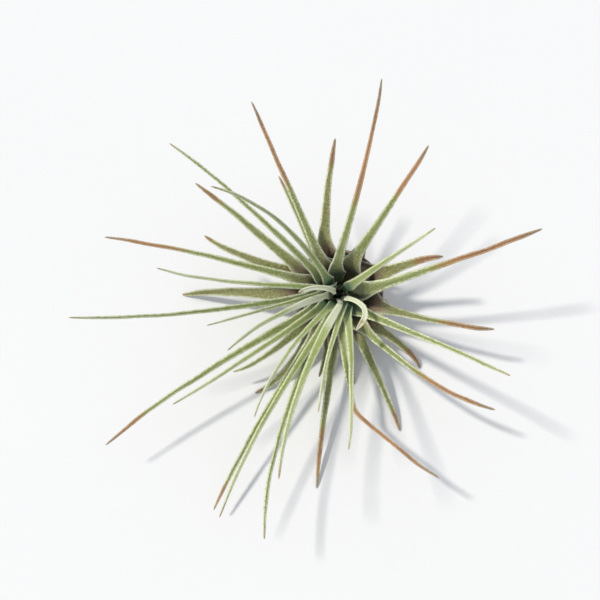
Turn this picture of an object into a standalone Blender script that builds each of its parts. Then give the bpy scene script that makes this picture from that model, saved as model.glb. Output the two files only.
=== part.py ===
"""Air plant: a small rosette of narrow channelled leaves, lying on its bulb with the crown leaning forward.

The plant is modelled about its own axis (+Z, root at the origin) and then leant towards -Y. The leaves sit in
tiers: tier 0 is the outermost, dry scales, and each further tier is rooted higher, sits nearer the axis and
rises further. The sheaths of one tier share the circle between them, so they stand side by side.
"""

import math

import bpy
import numpy as np

MM = 0.001

LEAN = math.radians(28)          # the axis leans this far from upright, towards -Y
CLEARANCE = 0.3                  # mm, between a leaf and the stem or a neighbour
TOUCH = 0.1                      # mm, height of a resting tip above the surface

# Bulb, mm
BULB_RADIUS = 10.3               # sheath radius of the outermost tier, at its widest
TIER_PITCH = 1.25                # each tier is this much closer to the axis
ROOT_HEIGHT = 1.1                # where the outermost tier is rooted, along the axis
ROOT_STEP = 0.9                  # each tier is rooted this much higher
WAIST_HEIGHT = 7.6               # where the outermost tier is widest
WAIST_STEP = 0.85                # and how much higher each tier is widest
SHEATH_THICKNESS = 0.4
# A sheath reaches at most this many degrees round on each side, one number for each tier
MAX_WRAPS = (24, 42, 42, 38, 32, 27, 25, 24)
LIFT = 2.2                       # how far the outermost tier goes on upwards before it turns out
LIFT_STEP = 1.0                  # and how much further each tier does

# Blade
BLADE_THICKNESS = 0.25           # of the blade's width
TIP_SHARE = 0.55                 # the tip is this much as thick as the root
TIP_WIDTH = 0.22                 # of the blade's width
# One number for each tier: 1 is a straight taper, and the higher it is, the nearer the root the blades narrow
TAPERS = (1.2, 0.9, 1.2, 1.8, 1.8, 1.6, 1.5, 1.2)
STRIP = 0.58                     # each half of the blade is this wide before it is rolled, of its width
CHANNEL = math.radians(62)       # how far each half of the blade is rolled up
# By this share of the blade the sheath has narrowed to it, one number for each tier
NARROWED = (0.17, 0.42, 0.35, 0.30, 0.20, 0.17, 0.17, 0.17)
ROLLING = 0.11                   # and by this much more of it the blade has rolled into its channel
ARM = 0.38                       # length of the far Bezier arm, of the root-to-tip distance

# Stem, mm: radius at the cut and at its top, and the heights along the axis
STEM_RADIUS = 2.5
STEM_TOP_RADIUS = 0.35
STEM_TOP = 8.2
STEM_DIP = 3.0                   # the stem is made this far below the root, then cut level

FLOOR = None                     # rise of a leaf whose tip rests on the surface

# One row for each leaf, in tiers from the outside in. Directions are in degrees round the axis, from +X
# towards +Y, and lengths in mm: direction of the tip, reach from the axis, rise along the axis, direction
# of the root, sideways bow (towards a higher direction), droop of the tip below the straight line in
# degrees, blade width.
TIERS = (
    # dry scales: short, round the foot of the bulb
    ((350, 11.4, 9.5, 350, 0.0, 0, 2.6), (60, 11.6, 10.5, 60, 0.0, 0, 2.8),
     (126, 11.4, 10.0, 126, 0.0, 0, 2.6), (207, 11.0, 9.5, 207, 0.0, 0, 2.4)),
    # ground leaves: the oldest, low and broad, some of them down on the surface
    ((20, 24.0, 15.0, 26, 1.0, 10, 3.7), (91.5, 35.0, 11.0, 114, 0.7, 8, 3.2),
     (156.5, 33.0, 11.0, 152, 1.8, 8, 3.4), (180, 37.0, FLOOR, 182, -1.1, 8, 4.0),
     (229.5, 29.0, FLOOR, 234, 2.7, 8, 3.4), (256, 19.0, 12.5, 254, 0.8, 8, 2.5),
     (279.5, 20.5, FLOOR, 279, 0.0, 8, 2.4), (317.5, 25.0, FLOOR, 314, 2.2, 10, 3.1)),
    # low leaves
    ((117, 30.0, 10.0, 123, 0.0, 6, 2.5), (142.5, 40.0, 14.5, 151, -0.4, 8, 3.5),
     (216, 29.0, 15.0, 219, 2.0, 8, 3.0), (262.5, 41.0, FLOOR, 265, -0.6, 6, 3.0),
     (293.5, 32.5, FLOOR, 294, 0.5, 8, 3.4), (347, 33.5, 19.0, 342, -1.2, 8, 4.4)),
    # ring leaves: long and green
    ((59.5, 37.0, 18.0, 73, -0.4, 8, 3.9), (115, 45.5, 18.0, 121, 0.0, 6, 3.3),
     (166.5, 52.0, 18.5, 158, -1.4, 6, 3.1), (239, 50.7, 27.5, 240, -1.8, 6, 3.3),
     (322.5, 38.5, 27.0, 301, -3.8, 10, 3.9)),
    # upper leaves: long, with the plant's reach
    ((18, 43.0, 24.5, 8, -0.4, 8, 4.4), (79.5, 46.0, 21.0, 104, -1.4, 8, 3.1),
     (139, 47.5, 23.0, 140, -1.6, 8, 2.8), (185, 52.5, 36.5, 181, 2.1, 5, 2.6),
     (212.5, 57.0, 26.5, 212, -2.6, 6, 3.3), (251.2, 47.6, 40.0, 244, -4.9, 6, 3.1),
     (297, 40.2, 32.5, 277, -7.9, 4, 3.3), (333, 33.5, 39.5, 317, 0.4, 6, 3.1)),
    # young leaves: more upright
    ((142.5, 31.0, 44.0, 134, -4.9, 6, 2.4), (193, 27.0, 37.0, 178, 0.0, 6, 2.0),
     (212.7, 39.5, 34.0, 214, 0.5, 6, 2.6), (240.3, 48.0, 38.0, 250, -2.8, 6, 2.7),
     (269, 27.0, 48.0, 290, 1.1, 4, 2.7)),
    # inner leaves
    ((37, 19.0, 44.5, 42, 0.2, 4, 2.6), (205.5, 24.5, 39.5, 184, -2.2, 8, 2.6),
     (233, 28.5, 40.0, 236, -3.4, 6, 2.1), (256, 22.5, 40.0, 284, -1.3, 4, 2.1),
     (172.5, 36.0, 37.0, 128, 2.4, 8, 2.2)),
    # heart leaves: three pale ones that curl out of the crown
    ((178, 9.2, 24.0, 158, -1.3, 20, 1.3), (249, 35.0, 45.5, 266, -3.4, 6, 2.8),
     (290, 8.0, 24.0, 316, 4.9, 20, 1.35)),
)
TIER_NAMES = ("dry_scale", "ground_leaf", "low_leaf", "ring_leaf", "upper_leaf", "young_leaf", "inner_leaf",
              "heart_leaf")
CREASED = {"upper_leaf_7": 0.605}     # a leaf that is folded sideways at this place along its blade
CREASE_SOFTNESS = 0.04
SWERVES = {"inner_leaf_5": 0.7, "heart_leaf_2": 0.4}     # mm, a second, sideways bow close to the root
# A leaf with a taper of its own
SLENDER = {"low_leaf_6": 2.6, "ring_leaf_5": 2.8, "upper_leaf_1": 2.6, "upper_leaf_7": 2.4}
# A leaf with a wider tip than TIP_WIDTH, of the blade's width
BLUNT = {"heart_leaf_1": 0.7, "heart_leaf_3": 0.8}
# A leaf that starts with only this share of its width, and has all of it by WAIST_END along its blade
WAISTED = {"inner_leaf_2": 0.35, "inner_leaf_5": 0.45, "heart_leaf_2": 0.35}
WAIST_END = 0.42

# Colours and finish: linear RGB, roughness
GREEN = (0.20, 0.28, 0.09, 0.62)
PALE_GREEN = (0.36, 0.47, 0.19, 0.58)
DRY = (0.28, 0.17, 0.09, 0.80)
WOODY = (0.12, 0.08, 0.05, 0.85)

# Where along the sheath and the blade the sections stand
SHEATH_STATIONS = (0.0, 0.35, 0.7, 1.0)
BLADE_STATIONS = (0.08, 0.17, 0.27, 0.38, 0.49, 0.61, 0.77, 0.91)
# Places across a section: 0 is the keel, 1 an edge; the back runs edge to edge and the face between
BACK_PLACES = (-1.0, -0.5, 0.0, 0.5, 1.0)
FACE_PLACES = (0.55, 0.0, -0.55)


def ease(x):
    """Smooth step from 0 to 1."""
    x = min(max(x, 0.0), 1.0)
    return x * x * (3 - 2 * x)


def mix(a, b, share):
    return a + (b - a) * share


def unit(vector):
    return vector / np.linalg.norm(vector)


def stem_radius(height):
    """Radius of the stem, mm, at a height along the axis: a straight taper."""
    return mix(STEM_RADIUS, STEM_TOP_RADIUS, (height + STEM_DIP) / (STEM_TOP + STEM_DIP))


def floor_rise(direction, reach, lift):
    """Rise along the leaning axis at which a tip stands the given height above the surface."""
    return (lift - reach * math.sin(direction) * math.sin(LEAN)) / math.cos(LEAN)


def wraps(tier, index):
    """How far a sheath reaches round to either side: half-way to its neighbours, less the clearance."""
    roots = sorted(row[3] for row in TIERS[tier])
    place = roots.index(TIERS[tier][index][3])
    radius = BULB_RADIUS - tier * TIER_PITCH
    spare = CLEARANCE / (2 * radius)
    before = (roots[place] - roots[place - 1]) % 360
    after = (roots[(place + 1) % len(roots)] - roots[place]) % 360
    most = math.radians(MAX_WRAPS[tier])
    return [min(math.radians(gap) / 2 - spare, most) for gap in (before, after)]


def bow_shape(t, crease):
    """Share of the sideways bow at a place along the blade: a smooth hump, or a soft-cornered tent.

    The tent's side towards the root is hollow and its side towards the tip is full.
    """
    if crease is None:
        return 4 * t * t * (1 - t)
    sides = ((t / crease) ** 1.4, ((1 - t) / (1 - crease)) ** 0.85)
    return -CREASE_SOFTNESS * math.log(sum(math.exp(-side / CREASE_SOFTNESS) for side in sides))


def swerve_shape(t):
    """Share of a swerve at a place along the blade: a hump that is highest a seventh of the way along."""
    return t * (1 - t) ** 6 * 7 ** 7 / 6 ** 6


def centre_line(tier, row, crease, swerve):
    """The leaf's keel, as a function of a place from -1 at the root through 0 at the waist to 1 at the tip.

    From the root to the waist, the sheath, it is a parabola round the bulb: height grows evenly while the
    radius grows as 2q - q^2. From there the blade is a Bezier curve that leaves straight up and ends
    pointing along the drooped chord. The bow and the swerve are added at right angles to the chord.
    """
    tip_direction, reach, rise, root_direction, bow, droop, _ = row
    turn = math.radians((tip_direction - root_direction + 180) % 360 - 180)
    if rise is FLOOR:
        rise = floor_rise(math.radians(tip_direction), reach, TOUCH)
    root_height = ROOT_HEIGHT + tier * ROOT_STEP
    root_radius = stem_radius(root_height) + CLEARANCE + SHEATH_THICKNESS
    waist = np.array([BULB_RADIUS - tier * TIER_PITCH, 0.0, WAIST_HEIGHT + tier * WAIST_STEP])
    tip = np.array([reach * math.cos(turn), reach * math.sin(turn), rise])
    chord = tip - waist
    run = math.hypot(chord[0], chord[1])
    slope = math.atan2(chord[2], run) - math.radians(droop)
    outward = np.array([chord[0] / run, chord[1] / run, 0.0])
    arrival = outward * math.cos(slope) + np.array([0.0, 0.0, math.sin(slope)])
    near = waist + np.array([0.0, 0.0, LIFT + tier * LIFT_STEP])
    far = tip - arrival * ARM * np.linalg.norm(chord)
    sideways = np.array([-outward[1], outward[0], 0.0])

    def place_at(place):
        if place < 0:
            q = 1 + place
            radius = mix(root_radius, waist[0], 2 * q - q * q)
            return np.array([radius, 0.0, mix(root_height, waist[2], q)])
        t = place
        bezier = (waist * (1 - t) ** 3 + near * 3 * t * (1 - t) ** 2
                  + far * 3 * t * t * (1 - t) + tip * t ** 3)
        return bezier + sideways * (bow * bow_shape(t, crease) + swerve * swerve_shape(t))

    return place_at, sideways


def leaf_frame(place_at, sideways, place):
    """Centre, sideways and upward directions of the section at a place along the leaf."""
    step = 0.01
    along = unit(place_at(min(place + step, 1.0)) - place_at(max(place - step, -1.0)))
    across = mix(np.array([0.0, 1.0, 0.0]), sideways, ease(place * 2))
    across = unit(across - along * np.dot(across, along))
    return place_at(place), across, np.cross(along, across)


def section_sizes(place, wrap, radius, width, tier, taper, tip_width, start_width):
    """Half widths on both sides, curvature (per mm) and thickness of the section at a place."""
    share = max(place, 0.0)
    narrowing = ease(share / NARROWED[tier])
    rolling = ease(share / (NARROWED[tier] + ROLLING))
    half_blade = width * mix(tip_width, 1.0, (1 - share) ** taper) * STRIP
    half_blade *= mix(start_width, 1.0, ease(share / WAIST_END))
    halves = [mix(radius * angle, half_blade, narrowing) for angle in wrap]
    curvature = mix(1 / radius, CHANNEL / half_blade, rolling)
    thickness = mix(SHEATH_THICKNESS, width * BLADE_THICKNESS * mix(1.0, TIP_SHARE, share), rolling)
    return halves, curvature, min(thickness, 0.75 / curvature)


def section_points(centre, across, up, halves, curvature, thickness):
    """One ring of a leaf: a strip bent to a circle, with its back on the circle and its face inside it."""
    ring = []
    for places, inset in ((BACK_PLACES, 0.0), (FACE_PLACES, thickness)):
        for place in places:
            angle = place * halves[1 if place > 0 else 0] * curvature
            radius = 1 / curvature - inset
            ring.append(centre + across * radius * math.sin(angle)
                        + up * (1 / curvature - radius * math.cos(angle)))
    return ring


def loft(name, rings, tip):
    """A closed mesh through rings of equal length, flat at the first ring and pointed at the tip."""
    count = len(rings[0])
    points = [point * MM for ring in rings for point in ring] + [tip * MM]
    last = (len(rings) - 1) * count
    faces = [tuple(reversed(range(count)))]
    for start in range(0, last, count):
        for k in range(count):
            after = (k + 1) % count
            faces.append((start + k, start + after, start + count + after, start + count + k))
    faces += [(last + k, last + (k + 1) % count, len(points) - 1) for k in range(count)]
    mesh = bpy.data.meshes.new(name)
    mesh.from_pydata([tuple(point) for point in points], [], faces)
    mesh.shade_smooth()
    mesh.set_sharp_from_angle(angle=math.radians(50))
    return mesh


def make_material(name, look):
    material = bpy.data.materials.new(name)
    material.use_nodes = True
    shader = material.node_tree.nodes["Principled BSDF"]
    shader.inputs["Base Color"].default_value = (*look[:3], 1)
    shader.inputs["Roughness"].default_value = look[3]
    shader.inputs["Metallic"].default_value = 0.0
    return material


def leaf_look(tier):
    if tier == 0:
        return DRY
    share = max(tier - 3, 0) / (len(TIERS) - 4)
    return tuple(mix(a, b, share) for a, b in zip(GREEN, PALE_GREEN))


def make_leaf(tier, index, axis, collection):
    row = TIERS[tier][index]
    name = f"{TIER_NAMES[tier]}_{index + 1}"
    place_at, sideways = centre_line(tier, row, CREASED.get(name), SWERVES.get(name, 0.0))
    wrap = wraps(tier, index)
    rings = []
    for place in [s - 1 for s in SHEATH_STATIONS] + list(BLADE_STATIONS):
        centre, across, up = leaf_frame(place_at, sideways, place)
        radius = centre[0] if place <= 0 else place_at(0.0)[0]
        sizes = section_sizes(place, wrap, radius, row[6], tier, SLENDER.get(name, TAPERS[tier]),
                              BLUNT.get(name, TIP_WIDTH), WAISTED.get(name, 1.0))
        rings.append(section_points(centre, across, up, *sizes))
    leaf = bpy.data.objects.new(name, loft(name, rings, place_at(1.0)))
    leaf.data.materials.append(make_material(name, leaf_look(tier)))
    collection.objects.link(leaf)
    leaf.parent = axis
    leaf.rotation_euler.z = math.radians(row[3])


def make_stem(axis, collection):
    """A tapering woody stem along the axis, cut level where it stands on the surface."""
    bpy.ops.mesh.primitive_cone_add(vertices=20, radius1=STEM_RADIUS * MM, radius2=STEM_TOP_RADIUS * MM,
                                    depth=(STEM_TOP + STEM_DIP) * MM)
    stem = bpy.context.object
    stem.name = "stem"
    stem.parent = axis
    stem.location.z = (STEM_TOP - STEM_DIP) / 2 * MM
    stem.data.materials.append(make_material("stem", WOODY))
    bpy.ops.mesh.primitive_cube_add(size=20 * MM, location=(0, 0, -10 * MM))
    cutter = bpy.context.object
    cutter.name = "level_cut"
    cutter.display_type = 'WIRE'
    cutter.hide_render = True
    cut = stem.modifiers.new("level_cut", 'BOOLEAN')
    cut.object = cutter
    stem.data.shade_smooth()
    stem.data.set_sharp_from_angle(angle=math.radians(40))
    for thing, home in ((stem, collection), (cutter, new_collection("cutters"))):
        for old in list(thing.users_collection):
            old.objects.unlink(thing)
        home.objects.link(thing)


def new_collection(name):
    collection = bpy.data.collections.new(name)
    bpy.context.scene.collection.children.link(collection)
    return collection


def main():
    for thing in list(bpy.data.objects):
        bpy.data.objects.remove(thing, do_unlink=True)
    collection = new_collection("air_plant")
    axis = bpy.data.objects.new("plant_axis", None)
    axis.rotation_euler.x = LEAN
    collection.objects.link(axis)
    make_stem(axis, collection)
    for tier, rows in enumerate(TIERS):
        for index in range(len(rows)):
            make_leaf(tier, index, axis, collection)


main()
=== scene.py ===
"""Looks of the air plant: fine, channelled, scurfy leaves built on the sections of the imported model's leaves.

Each leaf of the frame is read back as a row of cross-sections, smooth curves are run through them, and a fine
closed surface with a rolled margin, lengthwise veins and a dried tip is worked out along those curves. Small
silvery leaf scales stand along the margins. Lengths inside this file are in millimetres unless a name says
otherwise, and meshes are written in metres.
"""

import math

import bmesh
import bpy
import numpy as np
from bpy.props import FloatProperty, FloatVectorProperty, IntProperty, PointerProperty
from mathutils import Euler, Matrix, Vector


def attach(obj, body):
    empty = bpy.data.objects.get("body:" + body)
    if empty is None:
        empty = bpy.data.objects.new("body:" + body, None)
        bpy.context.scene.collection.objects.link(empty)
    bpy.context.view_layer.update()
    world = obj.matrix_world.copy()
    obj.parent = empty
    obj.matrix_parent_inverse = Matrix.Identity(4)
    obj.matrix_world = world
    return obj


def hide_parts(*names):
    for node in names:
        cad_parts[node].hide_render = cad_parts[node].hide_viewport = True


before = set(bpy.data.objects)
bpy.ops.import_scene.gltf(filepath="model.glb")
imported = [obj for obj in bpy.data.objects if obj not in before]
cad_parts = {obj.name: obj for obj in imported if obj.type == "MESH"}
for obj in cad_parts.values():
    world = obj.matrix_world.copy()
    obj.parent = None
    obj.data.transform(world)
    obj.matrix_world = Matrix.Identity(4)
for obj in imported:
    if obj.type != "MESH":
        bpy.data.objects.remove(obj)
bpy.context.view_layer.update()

bl_info = {
    "name": "Air plant",
    "version": (1, 0, 0),
    "blender": (4, 5, 0),
    "location": "3D View > Sidebar > Air plant",
    "description": "Builds the leaves, dry scales, stem and stage of an air plant around its frame",
    "category": "Add Mesh",
}

MM = 0.001

# Places of the frame's sections along a leaf: -1 at the root, 0 at the waist of the bulb, 1 at the tip
SECTION_PLACES = (-1.0, -0.65, -0.3, 0.0, 0.08, 0.17, 0.27, 0.38, 0.49, 0.61, 0.77, 0.91, 1.0)
CORNERS = 8                      # of each section
MERGE_WITHIN = 2e-6              # metres, between the loose corners of the frame's meshes
CORNER = math.radians(17)        # a leaf that turns by more than this at a section is folded there
FOLDS_PAST = 0.45                # nearer to the root than this place, a turn is a bend and not a fold

# Of the fine surfaces
FEWEST_ROWS, MOST_ROWS = 44, 170
TIP_SHARE = 0.45                 # size at the tip, as a share of the frame's last section
BLUNT_END = 0.9                  # length over which the very tip rounds off
LEAST_RADIUS, LEAST_THICKNESS = 0.05, 0.04
LEAST_HEIGHT = 0.02              # of every point above the floor

# The share of each blade, from its tip, that has dried
DRIED = {
    "ground_leaf_1": 0.30, "ground_leaf_2": 0.18, "ground_leaf_3": 0.06, "ground_leaf_5": 0.06,
    "ground_leaf_6": 0.06, "ground_leaf_7": 0.75, "ground_leaf_8": 0.26,
    "low_leaf_1": 0.12, "low_leaf_2": 0.15, "low_leaf_4": 0.27, "low_leaf_5": 0.14, "low_leaf_6": 0.32,
    "ring_leaf_1": 0.31, "ring_leaf_2": 0.37, "ring_leaf_3": 0.27, "ring_leaf_4": 0.09, "ring_leaf_5": 0.36,
    "upper_leaf_1": 0.44, "upper_leaf_2": 0.48, "upper_leaf_5": 0.14, "upper_leaf_7": 0.44,
    "heart_leaf_1": 0.03, "heart_leaf_3": 0.10,
}
GREEN_TIP = 0.012                # even a green leaf has this much of a dry point

# How young each family is: 0 for the oldest, olive leaves to 1 for the pale heart
YOUTH = {"dry_scale": 0.0, "ground_leaf": 0.0, "low_leaf": 0.18, "ring_leaf": 0.38, "upper_leaf": 0.52,
         "young_leaf": 0.70, "inner_leaf": 0.78, "heart_leaf": 1.0}
# Pale leaves, and between which places along their blades they turn green: past 1, they stay pale
PALE = {"heart_leaf_1": (2.0, 3.0), "heart_leaf_2": (0.28, 0.50), "heart_leaf_3": (2.0, 3.0),
        "inner_leaf_2": (0.45, 0.80)}

# Shades of deeper layers, as linear red, green and blue
VEIN_GREEN = (0.075, 0.095, 0.022)       # veins of a living blade
PAINTED_SHADE_OLIVE = (0.048, 0.062, 0.020)       # painted shade at the foot of a grown blade
DRY_VEIN = (0.225, 0.092, 0.037)         # veins of a dried tip
OLD_BROWN = (0.150, 0.080, 0.034)        # dried tips of the oldest leaves
DRY_SCURF = (0.600, 0.400, 0.250)        # leaf scales on a dried tip
HUSK_INSIDE_AND_SHADE = (0.085, 0.056, 0.028)      # face of the oldest leaves at the bulb: husk brown darkened by painted shade
SCALE_END = (0.300, 0.165, 0.085)        # thin end of a dry scale
WOOD_FIBRE = (0.200, 0.120, 0.065)       # fibres of the stem
STEM_GREEN = (0.024, 0.056, 0.030)       # growing end of the stem
PITH = (0.420, 0.300, 0.170)             # level cut of the stem


class AirPlantShape(bpy.types.PropertyGroup):
    """Sizes of the fine surfaces."""

    spacing: FloatProperty(name="Spacing", description="Distance between sections along a leaf, in mm",
                           default=0.45, min=0.2, max=2.0)
    around: IntProperty(name="Points around", description="Points in one closed section of a leaf",
                        default=36, min=16, max=64)
    margin: FloatProperty(name="Margin", description="Radius of the rolled margin of a blade, in mm",
                          default=0.11, min=0.0, max=0.4)
    vein_depth: FloatProperty(name="Vein depth", description="Depth of the lengthwise veins, in mm",
                              default=0.018, min=0.0, max=0.1)
    wander: FloatProperty(name="Wander", description="Sideways wander of a blade towards its tip, in mm",
                          default=0.07, min=0.0, max=1.0)
    shrink: FloatProperty(name="Shrink", description="Share of its width that a dried tip has lost",
                          default=0.10, min=0.0, max=0.8, subtype="FACTOR")
    fringe_spacing: FloatProperty(name="Fringe spacing", description="Distance between margin scales, in mm",
                                  default=0.30, min=0.1, max=2.0)
    fringe_length: FloatProperty(name="Fringe length", description="Length of a margin scale, in mm",
                                 default=0.22, min=0.0, max=1.0)


def colour_property(name, description, default):
    return FloatVectorProperty(name=name, description=description, default=default, size=3, subtype="COLOR",
                               min=0.0, max=1.0)


class AirPlantColours(bpy.types.PropertyGroup):
    """Colours of the plant, as linear red, green and blue."""

    olive: colour_property("Olive", "Skin of the oldest leaves", (0.175, 0.166, 0.044))
    green: colour_property("Green", "Skin of a grown leaf", (0.180, 0.228, 0.038))
    young: colour_property("Young green", "Skin of the youngest leaves", (0.350, 0.440, 0.090))
    heart: colour_property("Heart", "Skin of the pale leaves in the heart", (0.740, 0.745, 0.555))
    base: colour_property("Base green", "Inner face of a young leaf near its base", (0.115, 0.290, 0.150))
    scurf: colour_property("Scurf", "Silvery leaf scales", (0.680, 0.700, 0.370))
    rim: colour_property("Margin", "Margin of a leaf", (0.790, 0.805, 0.570))
    bloom: colour_property("Bloom", "Dense scurf at the foot of a blade", (0.440, 0.405, 0.370))
    yellowing: colour_property("Yellowing", "Skin just before it dries", (0.300, 0.240, 0.065))
    tan: colour_property("Tan", "Dried skin", (0.440, 0.200, 0.068))
    withered: colour_property("Withered", "Oldest dried skin, at a tip", (0.205, 0.138, 0.092))
    sheath: colour_property("Sheath", "Outside of the bulb", (0.260, 0.170, 0.098))
    bark: colour_property("Bark", "Stem and the foot of a scale", (0.045, 0.026, 0.012))


class AirPlantStage(bpy.types.PropertyGroup):
    """Floor, light and camera."""

    lens: FloatProperty(name="Lens", description="Focal length of the camera, in mm", default=42.0)
    stand: FloatVectorProperty(name="Camera place", description="Where the camera stands", size=3,
                               default=(-0.0088, -0.0800, 0.1477), subtype="TRANSLATION", unit="LENGTH")
    tilt: FloatProperty(name="Camera tilt", description="How far the camera is turned up from straight down",
                        default=math.radians(28), subtype="ANGLE", unit="ROTATION")
    sun_way: FloatVectorProperty(name="Sun way", description="The way the sunlight travels", size=3,
                                 default=(0.74, -0.12, -1.0), subtype="DIRECTION")
    sun_strength: FloatProperty(name="Sun strength", description="Strength of the sun", default=2.50)
    sun_size: FloatProperty(name="Sun size", description="Angle that the light comes from",
                            default=math.radians(6), subtype="ANGLE", unit="ROTATION")
    sky: colour_property("Sky", "Light from all round", (0.550, 0.590, 0.655))
    floor: colour_property("Floor", "Colour of the floor", (0.81, 0.80, 0.785))


# ---------------------------------------------------------------------------------------------- materials


def operator_pair(operation):
    """The plain and the reflected form of an arithmetic operator on values."""
    return (lambda self, other: self.graph.maths(operation, self, other),
            lambda self, other: self.graph.maths(operation, other, self))


class Value:
    """A socket of a material's nodes that can stand in an expression."""

    def __init__(self, graph, socket):
        self.graph, self.socket = graph, socket

    __add__, __radd__ = operator_pair("ADD")
    __sub__, __rsub__ = operator_pair("SUBTRACT")
    __mul__, __rmul__ = operator_pair("MULTIPLY")
    __truediv__, __rtruediv__ = operator_pair("DIVIDE")
    __pow__, __rpow__ = operator_pair("POWER")

    def rise(self, low, high):
        """Smooth step: 0 below low, 1 above high, and 3t^2 - 2t^3 between them."""
        settings = {"interpolation_type": "SMOOTHSTEP"}
        return self.graph.node("ShaderNodeMapRange", settings, {0: self, 1: low, 2: high, 3: 0.0, 4: 1.0})[0]

    def clip(self):
        """The value held between 0 and 1."""
        return self.graph.node("ShaderNodeClamp", {}, {0: self, 1: 0.0, 2: 1.0})[0]


class Graph:
    """The nodes of one material, built from expressions."""

    def __init__(self, name):
        self.material = bpy.data.materials.new(name)
        self.material.use_nodes = True
        self.tree = self.material.node_tree
        self.tree.nodes.clear()

    def node(self, kind, settings, sockets):
        """Adds a node, sets its settings and then its sockets, and gives its outputs as values."""
        made = self.tree.nodes.new(kind)
        made.location = (220 * (len(self.tree.nodes) % 12), -180 * (len(self.tree.nodes) // 12))
        for name, setting in settings.items():
            setattr(made, name, setting)
        for key, given in sockets.items():
            if isinstance(given, Value):
                self.tree.links.new(given.socket, made.inputs[key])
            else:
                made.inputs[key].default_value = given
        return [Value(self, socket) for socket in made.outputs]

    def maths(self, operation, first, second):
        return self.node("ShaderNodeMath", {"operation": operation}, {0: first, 1: second})[0]

    def parts(self, attribute):
        """The three numbers of a vector attribute."""
        vector = self.node("ShaderNodeAttribute", {"attribute_name": attribute}, {})[1]
        return self.node("ShaderNodeSeparateXYZ", {}, {0: vector})

    def vector(self, x, y, z):
        return self.node("ShaderNodeCombineXYZ", {}, {0: x, 1: y, 2: z})[0]

    def noise(self, vector, scale=1.0, detail=2.0, roughness=0.5):
        sockets = {"Vector": vector, "Scale": scale, "Detail": detail, "Roughness": roughness}
        return self.node("ShaderNodeTexNoise", {}, sockets)[0]

    def cells(self, vector, randomness=0.85):
        """Distance to the middle of the nearest cell, and a random number for that cell."""
        outputs = self.node("ShaderNodeTexVoronoi", {"voronoi_dimensions": "2D"},
                            {"Vector": vector, "Scale": 1.0, "Randomness": randomness})
        return outputs[0], self.node("ShaderNodeSeparateColor", {}, {0: outputs[1]})[0]

    def blend(self, share, first, second):
        """A colour between two colours."""
        def full(colour):
            return colour if isinstance(colour, Value) else (*colour, 1.0)
        return self.node("ShaderNodeMix", {"data_type": "RGBA"},
                         {0: share, 6: full(first), 7: full(second)})[2]

    def finish(self, colour, roughness, height, depth, **constants):
        """A Principled surface with a bump; depth is the height of the bump in mm."""
        bump = self.node("ShaderNodeBump", {}, {"Strength": 1.0, "Distance": depth * MM, "Height": height})[0]
        sockets = {"Base Color": colour, "Roughness": roughness, "Normal": bump}
        sockets.update({name.replace("_", " "): given for name, given in constants.items()})
        surface = self.node("ShaderNodeBsdfPrincipled", {}, sockets)[0]
        self.node("ShaderNodeOutputMaterial", {}, {0: surface})
        return self.material


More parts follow.
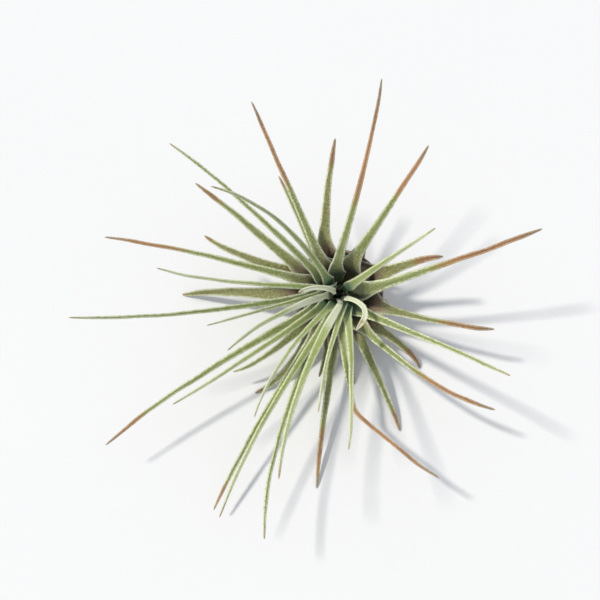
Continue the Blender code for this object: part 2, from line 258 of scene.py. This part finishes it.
def leaf_material(colours):
    """The skin of every leaf: green or dry by the leaf's own attributes, with veins, scurf and a pale margin.

    The attribute grain holds the distance across and along the leaf in mm and a number of the leaf's own.
    The attribute place holds the place along the leaf, the share of the way from keel to margin, which no
    colour needs, and 1 on the face or 0 on the back. The attribute state holds dryness, youth and the
    distance from the margin in mm.
    """
    g = Graph("leaf_skin")
    across, along, own = g.parts("grain")
    place, _, face = g.parts("place")
    dry, youth, from_margin = g.parts("state")

    # Veins, cloudiness, cells for two sizes of leaf scales, and the unevenness of the margin
    veins = g.noise(g.vector(across * 2.6, along * 0.10, own), detail=3.0, roughness=0.6)
    mottle = g.noise(g.vector(across * 0.45, along * 0.22, own), detail=3.0, roughness=0.6)
    cell, chance = g.cells(g.vector(across * 3.3 + own, along * 2.8, 0.0))
    fine_cell, fine_chance = g.cells(g.vector(across * 6.2 + own, along * 5.2, 0.0))
    edge = g.noise(g.vector(across * 2.0, along * 2.6, own + 3.0), detail=2.0)

    # Where things are: the margin, broader near the root, the heart leaves and the foot of the old leaves
    near = 1 - place.rise(0.12, 0.45)
    margin = 1 - (from_margin + (edge - 0.5) * 0.20).rise(0.02, 0.11 + near * 0.22)
    heart = youth.rise(0.86, 1.0)
    old = 1 - youth.rise(0.12, 0.62)
    foot = (1 - (place + (mottle - 0.5) * 0.22).rise(0.17, 0.38)) * old

    cover = 0.62 + margin * 0.4 + (mottle - 0.5) * 1.0
    dots = (1 - cell.rise(0.20, 0.50)) * (cover - chance).rise(-0.10, 0.10)
    specks = (1 - fine_cell.rise(0.20, 0.48)) * (cover - fine_chance).rise(-0.10, 0.10)

    # Living skin, from olive through green to the pale heart, painted shade at the feet, blue-green on young
    # faces
    skin = g.blend(youth.rise(0.0, 0.45), colours.olive, colours.green)
    skin = g.blend(youth.rise(0.50, 0.86), skin, colours.young)
    skin = g.blend(((veins - 0.42) * 2.2).clip() * 0.5, skin, VEIN_GREEN)
    skin = g.blend((dots * 0.50 + specks * 0.32).clip(), skin, g.blend(youth, colours.scurf, colours.rim))
    skin = g.blend(youth.rise(0.60, 0.80) * place.rise(0.55, 1.0) * 0.6, skin, colours.rim)
    # Painted shade: the feet darken to dark olive towards the root, while young faces turn blue-green there
    # instead
    foot_shade_and_teal = 1 - place.rise(0.0, 0.19 + youth * 0.13)
    skin = g.blend(foot_shade_and_teal * (1 - heart * 0.65) * 0.9, skin,
                   g.blend(youth.rise(0.42, 0.66) * face, PAINTED_SHADE_OLIVE, colours.base))
    skin = g.blend((heart * (0.55 + mottle * 0.6)).clip(), skin, colours.heart)

    # Yellowing, then tan, then withered towards a dry tip
    wilt = dry + (mottle - 0.5) * 0.24 + (veins - 0.5) * 0.24
    skin = g.blend(wilt.rise(0.20, 0.44) * 0.8, skin, colours.yellowing)
    dead = g.blend(((veins - 0.38) * 3.4).clip(), colours.tan, DRY_VEIN)
    dead = g.blend((1 - youth.rise(0.10, 0.40)) * 0.55, dead, OLD_BROWN)
    dead = g.blend((dots * 0.42 + specks * 0.34).clip(), dead, DRY_SCURF)
    dead = g.blend(dry.rise(0.80, 1.02) * 0.8, dead, colours.withered)
    dead = g.blend(heart * 0.6, dead, colours.heart)
    skin = g.blend(wilt.rise(0.38, 0.58), skin, dead)

    # Brown husk outside the bulb and at the foot of the oldest leaves, with grey scurf towards its edges
    outside = (1 - face) * (1 - place.rise(-0.25, 0.16)) * (1 - youth.rise(0.42, 0.60))
    husk = g.blend(((veins - 0.36) * 3.2).clip() * 0.75, colours.sheath, colours.bark)
    husk = g.blend((dots * 0.25 + specks * 0.20).clip(), husk, colours.bloom)
    # Painted shade: the husk's face darkens towards the root, over the husk's own brown
    husk = g.blend(face * (1 - place.rise(0.02, 0.20)) * 0.60, husk, HUSK_INSIDE_AND_SHADE)
    papery = 1 - (from_margin + (edge - 0.5) * 0.6).rise(0.25, 0.95)
    husk = g.blend(papery * 0.85, husk, colours.bloom)
    skin = g.blend((outside + foot * 0.95).clip(), skin, husk)
    bloom = (1 - face) * place.rise(-0.25, 0.02) * (1 - place.rise(0.10, 0.30)) * youth.rise(0.3, 0.8)
    skin = g.blend(bloom * (0.35 + mottle * 0.6), skin, colours.bloom)
    rim = margin * (1 - wilt.rise(0.3, 0.6) * 0.6) * (1 - foot) * (0.40 + dots * 0.30 + specks * 0.25)
    skin = g.blend(rim.clip(), skin, colours.rim)

    height = dots * 0.6 + specks * 0.3 + veins * 0.6
    roughness = 0.56 + dots * 0.16 + dry * 0.12
    return g.finish(skin, roughness, height, 0.07, Specular_IOR_Level=0.3, Sheen_Weight=0.15,
                    Sheen_Roughness=0.5)


def scale_material(colours):
    """Papery dry scales: brown, torn between the veins, with grey scurf left on their outside."""
    g = Graph("dry_scale_skin")
    across, along, own = g.parts("grain")
    place, _, face = g.parts("place")
    veins = g.noise(g.vector(across * 1.8, along * 0.12, own), detail=4.0, roughness=0.65)
    mottle = g.noise(g.vector(across * 0.5, along * 0.4, own), detail=3.0, roughness=0.6)
    cell, chance = g.cells(g.vector(across * 4.0, along * 3.2, own))
    scurf = (1 - cell.rise(0.15, 0.5)) * (mottle - chance * 0.8).rise(0.0, 0.2)
    skin = g.blend(((veins - 0.35) * 3.0).clip(), colours.sheath, colours.bark)
    skin = g.blend(place.rise(0.1, 0.8) * 0.6, skin, SCALE_END)
    skin = g.blend(scurf * (1 - face * 0.6), skin, colours.bloom)
    return g.finish(skin, 0.7 + mottle * 0.15, veins + scurf * 0.4, 0.10, Specular_IOR_Level=0.25)


def stem_material(colours):
    """Woody stem: dark fibres along it, green where it grows, and paler pith on the level cut."""
    g = Graph("stem_wood")
    around, along, cut = g.parts("grain")
    fibres = g.noise(g.vector(around * 3.0, along * 0.35, 0.0), detail=4.0, roughness=0.65)
    flecks = g.noise(g.vector(around * 1.2, along * 1.2, 7.0), detail=3.0)
    skin = g.blend(((fibres - 0.35) * 3.0).clip(), colours.bark, WOOD_FIBRE)
    skin = g.blend(along.rise(1.5, 4.0) * (1 - cut), skin, STEM_GREEN)
    skin = g.blend(cut * (0.6 + flecks * 0.4), skin, PITH)
    return g.finish(skin, 0.85 - flecks * 0.1, fibres + flecks * 0.5, 0.12, Specular_IOR_Level=0.2)


def floor_material(colour):
    """Plain matt floor with the faintest unevenness."""
    g = Graph("stage_floor")
    places = g.node("ShaderNodeTexCoord", {}, {})[3]
    cloud = g.noise(places, scale=9.0, detail=3.0)
    darker = tuple(0.97 * part for part in colour)
    return g.finish(g.blend(cloud, colour, darker), 0.75, cloud, 0.02, Specular_IOR_Level=0.2)


# ----------------------------------------------------------------------------------- sections of the frame


def ring_in_order(ring, level):
    """The corners of one ring in the order of its outline.

    An outline edge joins two corners of the ring and bounds a face that reaches the ring nearer to the tip.
    """
    def outline(corner):
        for edge in corner.link_edges:
            near = any(level[v] < level[corner] for face in edge.link_faces for v in face.verts)
            if near and level[edge.other_vert(corner)] == level[corner]:
                yield edge.other_vert(corner)

    order = [ring[0]]
    while len(order) < len(ring):
        order.append(next(v for v in outline(order[-1]) if v not in order))
    return order


def rings_from(corner):
    """The corners one edge away from a corner, two edges away and so on, and each corner's count of edges."""
    level, rings, front = {corner: 0}, [], [corner]
    while front:
        reached = {edge.other_vert(v) for v in front for edge in v.link_edges} - set(level)
        front = sorted(reached, key=lambda v: v.index)
        level.update(dict.fromkeys(front, len(rings) + 1))
        rings += [front] if front else []
    return rings, level


def leaf_sections(node):
    """Margin, keel, margin and middle of the face of each section from root to tip, and the tip, in mm.

    The tip is the corner from which every further step along the edges reaches eight corners, and these are
    the sections. In each, the margins are the two corners farthest apart, and of the two that lie half-way
    between them along the outline, the keel is the one farther from their chord.
    """
    solid = bmesh.new()
    solid.from_mesh(node.data)
    bmesh.ops.remove_doubles(solid, verts=solid.verts, dist=MERGE_WITHIN)
    solid.verts.index_update()
    for tip in solid.verts:
        rings, level = rings_from(tip)
        if [len(ring) for ring in rings] == [CORNERS] * (len(SECTION_PLACES) - 1):
            break
    else:
        raise RuntimeError(f"{node.name} isn't a loft of {len(SECTION_PLACES) - 1} sections")
    rings = [ring_in_order(ring, level) for ring in rings]
    sections = []
    beyond = np.array(tip.co) / MM
    for ring in rings:
        points = np.array([v.co for v in ring]) / MM
        apart = np.linalg.norm(points[:, None] - points[None], axis=2)
        first = int(np.argmax(apart.max(axis=1)))
        points = np.roll(points, -first, axis=0)
        first_margin, middle_a, last_margin, middle_b = points[::2]
        chord = (last_margin - first_margin) / np.linalg.norm(last_margin - first_margin)
        offsets = [m - first_margin - chord * np.dot(m - first_margin, chord) for m in (middle_a, middle_b)]
        keel, inner = middle_a, middle_b
        if np.linalg.norm(offsets[1]) > np.linalg.norm(offsets[0]):
            keel, inner = middle_b, middle_a
        if np.dot(np.cross(last_margin - first_margin, inner - keel), beyond - keel) < 0:
            first_margin, last_margin = last_margin, first_margin
        sections.append((first_margin, keel, last_margin, inner))
        beyond = keel
    tip_place = np.array(tip.co) / MM
    solid.free()
    return np.array(sections[::-1]), tip_place


def circles(sections):
    """For each section: the circle through margin, keel and margin, and the thickness.

    With a and b the ways from the keel to the two margins, the circle's middle lies from the keel by
    ((|a|^2 b - |b|^2 a) x (a x b)) / (2 |a x b|^2). Gives the upward direction (from keel to middle), the
    radius, the angles from the keel to either margin, and the thickness at the keel.
    """
    keel = sections[:, 1]
    a, b = sections[:, 0] - keel, sections[:, 2] - keel
    normal = np.cross(a, b)
    to_middle = np.cross(square(a) * b - square(b) * a, normal) / (2 * square(normal))
    radius = length(to_middle)
    angles = [2 * np.arcsin(np.clip(length(way) / (2 * radius), 0, 1)) for way in (a, b)]
    return to_middle / radius, radius, angles[0], angles[1], length(sections[:, 3] - keel)


def square(vectors):
    return np.sum(vectors * vectors, axis=-1, keepdims=True)


def length(vectors):
    return np.sqrt(square(vectors))


def unit(vectors):
    return vectors / length(vectors)


def rise(x, low, high):
    """Smooth step from 0 at low to 1 at high."""
    t = np.clip((x - low) / (high - low), 0, 1)
    return t * t * (3 - 2 * t)


def curve_through(knots, values, at, folds=()):
    """A cubic curve through the rows of values at the knots, read at other places.

    Between two knots it is the cubic with the given ends and slopes, and each slope is that of the parabola
    through the knot and its neighbours. At a fold the slope is less, which makes a softer corner.
    """
    slopes = np.gradient(values, knots, axis=0)
    slopes[list(folds)] *= 0.6
    k = np.clip(np.searchsorted(knots, at, side="right") - 1, 0, len(knots) - 2)
    gap = (knots[k + 1] - knots[k])[:, None]
    t = (at - knots[k])[:, None] / gap
    return ((2 * t ** 3 - 3 * t ** 2 + 1) * values[k] + (t ** 3 - 2 * t ** 2 + t) * gap * slopes[k]
            + (3 * t ** 2 - 2 * t ** 3) * values[k + 1] + (t ** 3 - t ** 2) * gap * slopes[k + 1])


def wave(distance, wavelength, draw):
    """Two sines, the second of 0.43 times the wavelength and half the height, with phases drawn once."""
    first, second = draw.uniform(0, 2 * np.pi, 2)
    return np.sin(2 * np.pi * distance / wavelength + first) + 0.5 * np.sin(
        2 * np.pi * distance / (0.43 * wavelength) + second)


# ------------------------------------------------------------------------------------------ fine surfaces


class Leaf:
    """The curves of one leaf, read at close steps from its root to just short of its tip."""

    def __init__(self, node, shape):
        family = node.name.rsplit("_", 1)[0]
        sections, tip = leaf_sections(node)
        self.draw = np.random.default_rng(sorted(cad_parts).index(node.name) + 11)
        self.own = self.draw.uniform(0, 50)
        self.tip = tip
        up, radius, first, last, thickness = circles(sections)
        keel = np.vstack([sections[:, 1], tip])
        knots = np.concatenate([[0], np.cumsum(length(np.diff(keel, axis=0))[:, 0])])
        self.full = knots[-1]
        count = int(np.clip(self.full / shape.spacing, FEWEST_ROWS, MOST_ROWS))
        self.along = np.linspace(0, self.full * (1 - 0.4 / count), count)
        ways = unit(np.diff(keel, axis=0))
        turns = np.arccos(np.clip(np.sum(ways[1:] * ways[:-1], axis=1), -1, 1))
        folds = [k for k, turn in enumerate(turns, 1) if turn > CORNER and SECTION_PLACES[k] > FOLDS_PAST]

        def read(values, folded=()):
            return curve_through(knots, values, self.along, folded)

        self.place = np.interp(self.along, knots, SECTION_PLACES)
        self.keel = read(keel, folds)
        radius = read(np.vstack([radius, radius[-1] * TIP_SHARE]))
        self.radius = np.maximum(radius, LEAST_RADIUS) * self.blunt_end()
        self.angles = [read(np.vstack([angle, angle[-1]])) for angle in (first, last)]
        thickness = read(np.vstack([thickness, thickness[-1] * TIP_SHARE]))
        self.thickness = np.maximum(thickness, LEAST_THICKNESS) * self.blunt_end()
        self.up = read(np.vstack([up, up[-1]]))
        self.dry = self.dryness(DRIED.get(node.name, GREEN_TIP))
        self.youth = (YOUTH[family] + self.draw.uniform(-0.05, 0.05)) * np.ones(count)
        if node.name in PALE:
            self.youth = 1 - 0.26 * rise(self.place, *PALE[node.name])
        self.loosen(shape)

    def dryness(self, dried):
        """How dry the leaf is: 0, then 0.48 where its dried share starts, and 1.03 at the tip."""
        past = self.place - (1 - dried)
        before, after = 0.48 * (1 + past / 0.11), 0.48 + 0.55 * past / dried
        return np.clip(np.where(past > 0, after, before), 0, None)

    def blunt_end(self):
        """Share of the full size along the leaf: 1, then over the blunt end a quarter of an ellipse."""
        left = np.clip((self.full - self.along) / BLUNT_END, 0, 1)
        return np.sqrt(1 - (1 - left) ** 2)[:, None]

    def loosen(self, shape):
        """The blade wanders a little sideways and twists, and where it has dried it shrinks and rolls up.

        The sideways way is wander times a wave of 22 mm, growing from nothing at 0.3 of the blade to full at
        its tip, and the twist is 9 degrees of such a wave.
        """
        free = rise(self.place, 0.3, 1.0)
        self.way = unit(np.gradient(self.keel, axis=0))
        self.across = unit(np.cross(self.up, self.way))
        sway = shape.wander * free * wave(self.along, 22.0, self.draw) * (1 - self.place ** 8)
        self.keel = self.keel + self.across * sway[:, None]
        self.way = unit(np.gradient(self.keel, axis=0))
        across = unit(np.cross(self.up, self.way))
        up = np.cross(self.way, across)
        twist = (math.radians(9) * free * wave(self.along, 21.0, self.draw))[:, None]
        self.across = across * np.cos(twist) + up * np.sin(twist)
        self.up = up * np.cos(twist) - across * np.sin(twist)
        withered = rise(self.dry, 0.45, 0.95)[:, None]
        self.radius = self.radius * (1 - shape.shrink * withered)
        self.radius = self.radius * (1 + 0.035 * wave(self.along, 6.0, self.draw)[:, None] * free[:, None])
        self.angles = [angle * (1 + 0.2 * withered) for angle in self.angles]

    def bend(self, rows, arc, inset):
        """Points of flat sections, arc beside the keel and inset from the back, bent to their circles.

        A point at angle f = arc / radius lies from the keel by (radius - inset) sin f across the leaf and by
        radius - (radius - inset) cos f upwards.
        """
        radius = self.radius[rows]
        turned = arc / radius
        sideways = ((radius - inset) * np.sin(turned))[..., None]
        upwards = (radius - (radius - inset) * np.cos(turned))[..., None]
        return (self.keel[rows][:, None] + self.across[rows][:, None] * sideways
                + self.up[rows][:, None] * upwards)


def skin_grid(leaf, shape):
    """The closed skin of a leaf, as points and the numbers its material reads.

    Round a section, the angle g goes from 0 to 2 pi, the share of the way to a margin is cos g, and the face
    is where sin g is above 0. The blade is as thick as thickness x sqrt(1 - share^2.6). The rolled margin
    adds a half circle of its own radius, and the two thicknesses join as (a^3 + b^3)^(1/3). Veins move the
    skin by a cosine of the share, five to a blade's width.
    """
    g = np.arange(shape.around) * (2 * np.pi / shape.around)
    share, face = np.cos(g), np.sin(g) > -1e-9
    rows = np.arange(len(leaf.along))
    half = leaf.radius * np.where(share > 0, leaf.angles[1], leaf.angles[0])
    arc = share * half
    out = np.abs(share)
    margin = np.minimum(shape.margin * (1 + 0.12 * wave(leaf.along, 1.3, leaf.draw))[:, None], 0.36 * half)
    part = margin / half
    bead = 2 * margin * np.sqrt(np.clip(1 - ((1 - out - part) / part) ** 2, 0, None))
    blade = leaf.thickness * np.sqrt(np.clip(1 - out ** 2.6, 0, None))
    veins = shape.vein_depth * np.cos(5 * np.pi * share) * (1 - out ** 6) * np.minimum(1, half)
    inset = np.where(face, (blade ** 3 + bead ** 3) ** (1 / 3) + veins, veins - 0.3 * bead)
    inset = np.where(out > 1 - 1e-9, 0.0, inset)
    points = leaf.bend(rows, arc, inset)
    ones = np.ones_like(arc)
    grain = np.stack([arc, leaf.along[:, None] * ones, leaf.own * ones], axis=-1)
    place = np.stack([leaf.place[:, None] * ones, out * ones, face * ones], axis=-1)
    state = np.stack([leaf.dry[:, None] * ones, leaf.youth[:, None] * ones, (1 - out) * half], axis=-1)
    return points, (grain, place, state)


def margin_scales(leaf, shape):
    """Small silvery scales along both margins: flat eight-sided plates that lean out and towards the tip.

    Each has a long axis d, a wide axis w and a thin axis n. Its six corners are its middle + and - half its
    length along d, 0.28 of its length along w and 0.02 mm along n, and its middle is 0.35 of its length out
    from the margin.
    """
    spots = np.arange(leaf.full * 0.22, leaf.full * 0.97, shape.fringe_spacing)
    points, numbers = [], []
    for side, angle in ((-1, leaf.angles[0]), (1, leaf.angles[1])):
        at = spots + leaf.draw.uniform(-0.12, 0.12, len(spots))
        rows = np.clip(np.searchsorted(leaf.along, at), 0, len(leaf.along) - 1)
        angle = angle[rows]
        outward = side * leaf.across[rows] * np.cos(angle) + leaf.up[rows] * np.sin(angle)
        edge = leaf.bend(rows, side * angle * leaf.radius[rows], 0.0)[:, 0]
        edge = edge + leaf.way[rows] * (at - leaf.along[rows])[:, None]
        lean = leaf.draw.uniform(0.3, 1.2, (len(spots), 1))
        lift = leaf.draw.uniform(-0.5, 0.5, (len(spots), 1))
        d = unit(outward + lean * leaf.way[rows] + lift * leaf.up[rows])
        n = unit(np.cross(d, leaf.way[rows]) + 1e-6)
        w = np.cross(n, d)
        size = shape.fringe_length * leaf.draw.uniform(0.6, 1.25, (len(spots), 1))
        size = size * np.minimum(1, leaf.radius[rows] / 0.7)
        middle = edge + d * size * 0.35
        corners = [middle + d * size / 2, middle + w * size * 0.28, middle - d * size / 2,
                   middle - w * size * 0.28, middle + n * 0.02, middle - n * 0.02]
        corners = np.stack(corners, axis=1)
        points.append(corners)
        ones = np.ones((len(spots), 6))
        arc = side * angle * leaf.radius[rows]
        grain = np.stack([arc * ones, at[:, None] * ones, leaf.own * ones], axis=-1)
        place = np.stack([leaf.place[rows][:, None] * ones, ones, ones], axis=-1)
        dry, youth = leaf.dry[rows][:, None], leaf.youth[rows][:, None]
        state = np.stack([dry * ones, youth * ones, 0 * ones], axis=-1)
        numbers.append((grain, place, state))
    return np.vstack(points), [np.vstack(pair) for pair in zip(*numbers)]


PLATE = np.array([(0, 1, 4), (1, 2, 4), (2, 3, 4), (3, 0, 4), (1, 0, 5), (2, 1, 5), (3, 2, 5), (0, 3, 5)])


def grid_faces(rows, columns):
    """Faces of a tube of rings, closed by a root pole, the first point after the rings, and a tip pole."""
    row, column = np.meshgrid(np.arange(rows - 1), np.arange(columns), indexing="ij")
    here, beside = row * columns + column, row * columns + (column + 1) % columns
    quads = np.stack([here, beside, beside + columns, here + columns], axis=-1).reshape(-1, 4)
    k = np.arange(columns)
    after = (k + 1) % columns
    start = np.stack([after, k, np.full(columns, rows * columns)], axis=-1)
    last = (rows - 1) * columns
    end = np.stack([last + k, last + after, np.full(columns, rows * columns + 1)], axis=-1)
    return quads, np.vstack([start, end])


def make_piece(name, points, quads, triangles, numbers, material):
    """A mesh object from points in mm, its faces and the attributes grain, place and state."""
    mesh = bpy.data.meshes.new(name)
    mesh.from_pydata((points * MM).tolist(), [], quads.tolist() + triangles.tolist())
    for title, values in zip(("grain", "place", "state"), numbers):
        layer = mesh.attributes.new(title, "FLOAT_VECTOR", "POINT")
        layer.data.foreach_set("vector", np.ascontiguousarray(values, np.float32).ravel())
    mesh.shade_smooth()
    mesh.materials.append(material)
    piece = bpy.data.objects.new(name, mesh)
    bpy.context.scene.collection.objects.link(piece)
    return piece


def stand_for(piece, node):
    """The piece rides on the plant and takes the place of the frame's node."""
    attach(piece, "root")
    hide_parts(node)


def make_leaf(node, shape, material):
    leaf = Leaf(node, shape)
    points, numbers = skin_grid(leaf, shape)
    rows, columns = points.shape[:2]
    flat = points.reshape(-1, 3)
    poles = np.stack([points[0].mean(axis=0), leaf.tip])
    ends = [np.stack([layer[0].mean(axis=0), layer[-1].mean(axis=0)]) for layer in numbers]
    quads, triangles = grid_faces(rows, columns)
    parts, layers = [flat, poles], [[layer.reshape(-1, 3), end] for layer, end in zip(numbers, ends)]
    if not node.name.startswith("dry_scale"):
        plates, plate_numbers = margin_scales(leaf, shape)
        first = len(flat) + 2 + 6 * np.arange(len(plates))
        triangles = np.vstack([triangles, (first[:, None, None] + PLATE).reshape(-1, 3)])
        parts.append(plates.reshape(-1, 3))
        for layer, values in zip(layers, plate_numbers):
            layer.append(values.reshape(-1, 3))
    everything = np.vstack(parts)
    everything[:, 2] = np.maximum(everything[:, 2], LEAST_HEIGHT)
    piece = make_piece(node.name + "_skin", everything, quads, triangles,
                       [np.vstack(layer) for layer in layers], material)
    stand_for(piece, node.name)


def make_stem(node, material):
    """The stem: a rod that thins from its level cut to its top, with bark furrows.

    With c0 and c1 the middles of the cut and of the top, a point at share s and angle f lies at
    (1 - s)(c0 + r0(f)(cos f, sin f, 0)) + s(c1 + r1(cos f e1 + sin f e2)), and each radius is lessened by
    furrows of sin 7f and sin 11f. The cut is closed by rings that shrink to its middle.
    """
    points = np.array([v.co for v in node.data.vertices]) / MM
    cut = np.unique(np.round(points[points[:, 2] < 1e-3], 4), axis=0)
    middle = (cut.min(axis=0) + cut.max(axis=0)) / 2
    away = length(points - middle)[:, 0]
    top = np.unique(np.round(points[away > away.max() * 0.93], 4), axis=0)
    top_middle = top.mean(axis=0)
    top_radius = length(top - top_middle).mean()
    offsets = cut - middle
    around = np.arctan2(offsets[:, 1], offsets[:, 0])
    order = np.argsort(around)
    f = np.linspace(-np.pi, np.pi, 72, endpoint=False)
    reach = np.interp(f, around[order], length(offsets[order])[:, 0], period=2 * np.pi)
    axis = unit((top_middle - middle)[None])[0]
    e1 = unit(np.cross((0.0, 1.0, 0.0), axis)[None])[0]
    e2 = np.cross(axis, e1)
    shares = np.concatenate([np.zeros(5), np.linspace(0, 1, 40)])
    spread = np.concatenate([[0.15, 0.4, 0.65, 0.85, 0.97], np.ones(39), [0.8]])
    furrow = 1 - 0.05 * (1 + np.sin(7 * f + 3 * shares[:, None])) - 0.03 * (1 + np.sin(11 * f + 1.3))
    furrow = furrow * spread[:, None]
    low = middle + (furrow * reach)[..., None] * np.stack([np.cos(f), np.sin(f), 0 * f], axis=-1)
    high = top_middle + (furrow * top_radius)[..., None] * (
        np.cos(f)[:, None] * e1 + np.sin(f)[:, None] * e2)
    grid = low + (high - low) * shares[:, None, None]
    rows, columns = grid.shape[:2]
    ones = np.ones((rows, columns))
    along = shares * length(top_middle - middle)
    is_cut = (np.arange(rows) < 5) * 1.0
    grain = np.stack([f * reach.mean() * ones, along[:, None] * ones, is_cut[:, None] * ones], axis=-1)
    layer = np.vstack([grain.reshape(-1, 3), [(0, 0, 1), (0, along[-1], 0)]])
    quads, triangles = grid_faces(rows, columns)
    everything = np.vstack([grid.reshape(-1, 3), middle, top_middle])
    piece = make_piece("stem_wood", everything, quads, triangles, [layer], material)
    stand_for(piece, node.name)


# ---------------------------------------------------------------------------------------------- operators


def shared_material(name, build):
    """The material of that name, built the first time it is asked for."""
    return bpy.data.materials.get(name) or build(bpy.context.scene.air_plant_colours)


class LeafFamily:
    """Builds every leaf of one family of the frame."""

    bl_options = {"REGISTER", "UNDO"}
    family = ""

    def execute(self, context):
        material = shared_material("leaf_skin", leaf_material)
        if self.family == "dry_scale":
            material = shared_material("dry_scale_skin", scale_material)
        nodes = [node for name, node in sorted(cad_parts.items()) if name.startswith(self.family)]
        if not nodes:
            raise RuntimeError(f"the frame has no {self.family}")
        for node in nodes:
            make_leaf(node, context.scene.air_plant_shape, material)
        return {"FINISHED"}


class AIRPLANT_OT_dry_scales(LeafFamily, bpy.types.Operator):
    """Builds the short, papery scales round the foot of the bulb"""
    bl_idname = "air_plant.dry_scales"
    bl_label = "Dry scales"
    family = "dry_scale"


class AIRPLANT_OT_ground_leaves(LeafFamily, bpy.types.Operator):
    """Builds the oldest leaves, low and broad"""
    bl_idname = "air_plant.ground_leaves"
    bl_label = "Ground leaves"
    family = "ground_leaf"


class AIRPLANT_OT_low_leaves(LeafFamily, bpy.types.Operator):
    """Builds the second tier of leaves"""
    bl_idname = "air_plant.low_leaves"
    bl_label = "Low leaves"
    family = "low_leaf"


class AIRPLANT_OT_ring_leaves(LeafFamily, bpy.types.Operator):
    """Builds the long leaves of the third tier"""
    bl_idname = "air_plant.ring_leaves"
    bl_label = "Ring leaves"
    family = "ring_leaf"


class AIRPLANT_OT_upper_leaves(LeafFamily, bpy.types.Operator):
    """Builds the longest leaves"""
    bl_idname = "air_plant.upper_leaves"
    bl_label = "Upper leaves"
    family = "upper_leaf"


class AIRPLANT_OT_young_leaves(LeafFamily, bpy.types.Operator):
    """Builds the young, more upright leaves"""
    bl_idname = "air_plant.young_leaves"
    bl_label = "Young leaves"
    family = "young_leaf"


class AIRPLANT_OT_inner_leaves(LeafFamily, bpy.types.Operator):
    """Builds the narrow leaves round the heart"""
    bl_idname = "air_plant.inner_leaves"
    bl_label = "Inner leaves"
    family = "inner_leaf"


class AIRPLANT_OT_heart_leaves(LeafFamily, bpy.types.Operator):
    """Builds the three pale leaves of the heart"""
    bl_idname = "air_plant.heart_leaves"
    bl_label = "Heart leaves"
    family = "heart_leaf"


class AIRPLANT_OT_stem(bpy.types.Operator):
    """Builds the woody stem"""
    bl_idname = "air_plant.stem"
    bl_label = "Stem"
    bl_options = {"REGISTER", "UNDO"}

    def execute(self, context):
        make_stem(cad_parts["stem"], shared_material("stem_wood", stem_material))
        return {"FINISHED"}


class AIRPLANT_OT_stage(bpy.types.Operator):
    """Builds the floor, the light and the camera"""
    bl_idname = "air_plant.stage"
    bl_label = "Stage"
    bl_options = {"REGISTER", "UNDO"}

    def execute(self, context):
        scene, stage = context.scene, context.scene.air_plant_stage
        corners = np.array([(-4, -4, 0), (4, -4, 0), (4, 4, 0), (-4, 4, 0)], float)
        mesh = bpy.data.meshes.new("floor")
        mesh.from_pydata(corners.tolist(), [], [(0, 1, 2, 3)])
        mesh.materials.append(floor_material(stage.floor))
        floor = bpy.data.objects.new("floor", mesh)
        scene.collection.objects.link(floor)

        sun = bpy.data.lights.new("sun", "SUN")
        sun.energy, sun.angle = stage.sun_strength, stage.sun_size
        sun.color = (1.0, 0.97, 0.92)
        lamp = bpy.data.objects.new("sun", sun)
        lamp.rotation_euler = Vector(stage.sun_way).to_track_quat("-Z", "Y").to_euler()
        lamp.location = (0, 0, 1)
        scene.collection.objects.link(lamp)
        scene.world = scene.world or bpy.data.worlds.new("world")
        scene.world.use_nodes = True
        scene.world.node_tree.nodes["Background"].inputs[0].default_value = (*stage.sky, 1)
        scene.view_settings.view_transform = "Standard"

        camera = bpy.data.cameras.new("camera")
        camera.lens, camera.sensor_width = stage.lens, 36
        camera.clip_start, camera.clip_end = 0.005, 20
        holder = bpy.data.objects.new("camera", camera)
        holder.location = stage.stand
        holder.rotation_euler = Euler((stage.tilt, 0, 0))
        scene.collection.objects.link(holder)
        scene.camera = holder
        return {"FINISHED"}


PIECES = (AIRPLANT_OT_stem, AIRPLANT_OT_dry_scales, AIRPLANT_OT_ground_leaves, AIRPLANT_OT_low_leaves,
          AIRPLANT_OT_ring_leaves, AIRPLANT_OT_upper_leaves, AIRPLANT_OT_young_leaves,
          AIRPLANT_OT_inner_leaves, AIRPLANT_OT_heart_leaves, AIRPLANT_OT_stage)


class AIRPLANT_PT_panel(bpy.types.Panel):
    """Lists the pieces and their sizes and colours"""
    bl_idname = "AIRPLANT_PT_panel"
    bl_label = "Air plant"
    bl_space_type = "VIEW_3D"
    bl_region_type = "UI"
    bl_category = "Air plant"

    def draw(self, context):
        for piece in PIECES:
            self.layout.operator(piece.bl_idname)
        scene = context.scene
        for group in (scene.air_plant_shape, scene.air_plant_colours, scene.air_plant_stage):
            column = self.layout.column(align=True)
            for name in group.__annotations__:
                column.prop(group, name)


GROUPS = {"air_plant_shape": AirPlantShape, "air_plant_colours": AirPlantColours,
          "air_plant_stage": AirPlantStage}


def register():
    for made in (*GROUPS.values(), *PIECES, AIRPLANT_PT_panel):
        bpy.utils.register_class(made)
    for name, group in GROUPS.items():
        setattr(bpy.types.Scene, name, PointerProperty(type=group))


def unregister():
    for name in GROUPS:
        delattr(bpy.types.Scene, name)
    for made in (AIRPLANT_PT_panel, *reversed(PIECES), *reversed(GROUPS.values())):
        bpy.utils.unregister_class(made)


def main():
    register()
    for piece in PIECES:
        group, name = piece.bl_idname.split(".")
        getattr(getattr(bpy.ops, group), name)()


if __name__ == "__main__":
    main()
